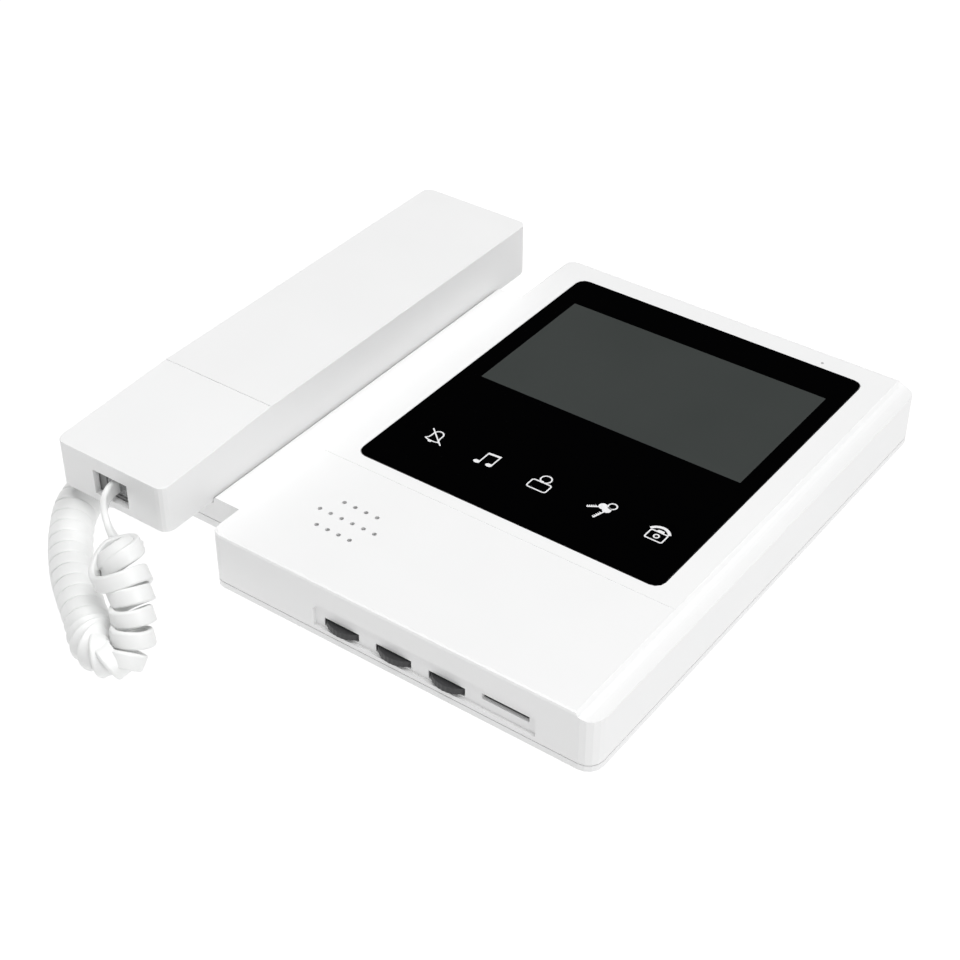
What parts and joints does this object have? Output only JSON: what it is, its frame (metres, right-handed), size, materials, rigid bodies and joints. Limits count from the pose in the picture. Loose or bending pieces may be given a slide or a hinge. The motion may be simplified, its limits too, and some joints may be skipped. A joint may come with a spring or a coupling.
{
  "type": "video intercom monitor",
  "caption": "Slim wall-mounted video door intercom with a black glass front, a corded handset resting on a side cradle, and adjustment thumbwheels in its lower edge.",
  "frame": {"origin": "middle of the back face of the whole object, without its cord", "axes": "+Z out of the screen, +Y towards the top of the screen, +X to the right of the screen; it lies on its back"},
  "size_m": [0.1941, 0.2387, 0.0365],
  "materials": {
    "white_abs": "satin white",
    "black_glass": "polished, black printed on its back",
    "screen": "dark display",
    "circuit_board": "green solder resist",
    "dark_plastic": "matt",
    "grey_plastic": "matt",
    "clear_plastic": "clear moulding",
    "plated_steel": "zinc plated",
    "green_terminal": "matt",
    "paper_cone": "black pulp",
    "white_cord": "satin white PVC"
  },
  "bodies": {
    "base": {"front_housing": "white_abs", "rear_cover": "white_abs", "front_glass": "black_glass", "lcd_module": "screen", "touch_key_board": "circuit_board", "main_board": "circuit_board", "power_terminal": "green_terminal", "door_terminal": "green_terminal", "video_processor": "dark_plastic", "board_screw_1": "plated_steel", "board_screw_2": "plated_steel", "board_screw_3": "plated_steel", "board_screw_4": "plated_steel", "case_screw_1": "plated_steel", "case_screw_2": "plated_steel", "case_screw_3": "plated_steel", "case_screw_4": "plated_steel", "wing_screw_1": "plated_steel", "wing_screw_2": "plated_steel", "potentiometer_1": "grey_plastic", "potentiometer_2": "grey_plastic", "potentiometer_3": "grey_plastic", "control_board": "circuit_board", "card_socket": "plated_steel", "speaker_basket": "plated_steel", "speaker_cone": "paper_cone", "microphone_capsule": "dark_plastic", "hook_spring": "plated_steel", "hook_microswitch": "dark_plastic", "base_jack": "grey_plastic", "base_plug": "clear_plastic", "cord_coil": "white_cord", "cord_coil_rise": "white_cord", "base_lead": "white_cord"},
    "thumbwheel_1": {"thumbwheel_1": "dark_plastic"},
    "thumbwheel_2": {"thumbwheel_2": "dark_plastic"},
    "thumbwheel_3": {"thumbwheel_3": "dark_plastic"},
    "hook_plunger": {"hook_plunger": "white_abs"},
    "handset": {"handset_outer_shell": "white_abs", "handset_inner_shell": "white_abs", "earpiece_capsule": "dark_plastic", "handset_microphone": "dark_plastic", "handset_weight": "plated_steel", "handset_jack": "grey_plastic", "handset_screw_1": "plated_steel", "handset_screw_2": "plated_steel", "handset_plug": "clear_plastic", "handset_lead": "white_cord"}
  },
  "joints": [
    {"name": "handset_lift", "type": "slide", "parent": "base", "child": "handset", "axis": [0, 0, 1], "range_m": [0, 0.08]},
    {"name": "hook_switch", "type": "slide", "parent": "base", "child": "hook_plunger", "axis": [0, 0, 1], "range_m": [0, 0.0024], "deforming": ["hook_spring"]},
    {"name": "thumbwheel_1_turn", "type": "hinge", "parent": "base", "child": "thumbwheel_1", "pos_m": [0.0077, -0.083, 0.0059], "axis": [0, 0, 1], "range_deg": [-135, 135]},
    {"name": "thumbwheel_2_turn", "type": "hinge", "parent": "base", "child": "thumbwheel_2", "pos_m": [0.0261, -0.083, 0.0059], "axis": [0, 0, 1], "range_deg": [-135, 135]},
    {"name": "thumbwheel_3_turn", "type": "hinge", "parent": "base", "child": "thumbwheel_3", "pos_m": [0.0445, -0.083, 0.0059], "axis": [0, 0, 1], "range_deg": [-135, 135]}
  ],
  "couplings": [
    {"joint": "hook_switch", "follows": "handset_lift", "ratio": 0.03}
  ]
}
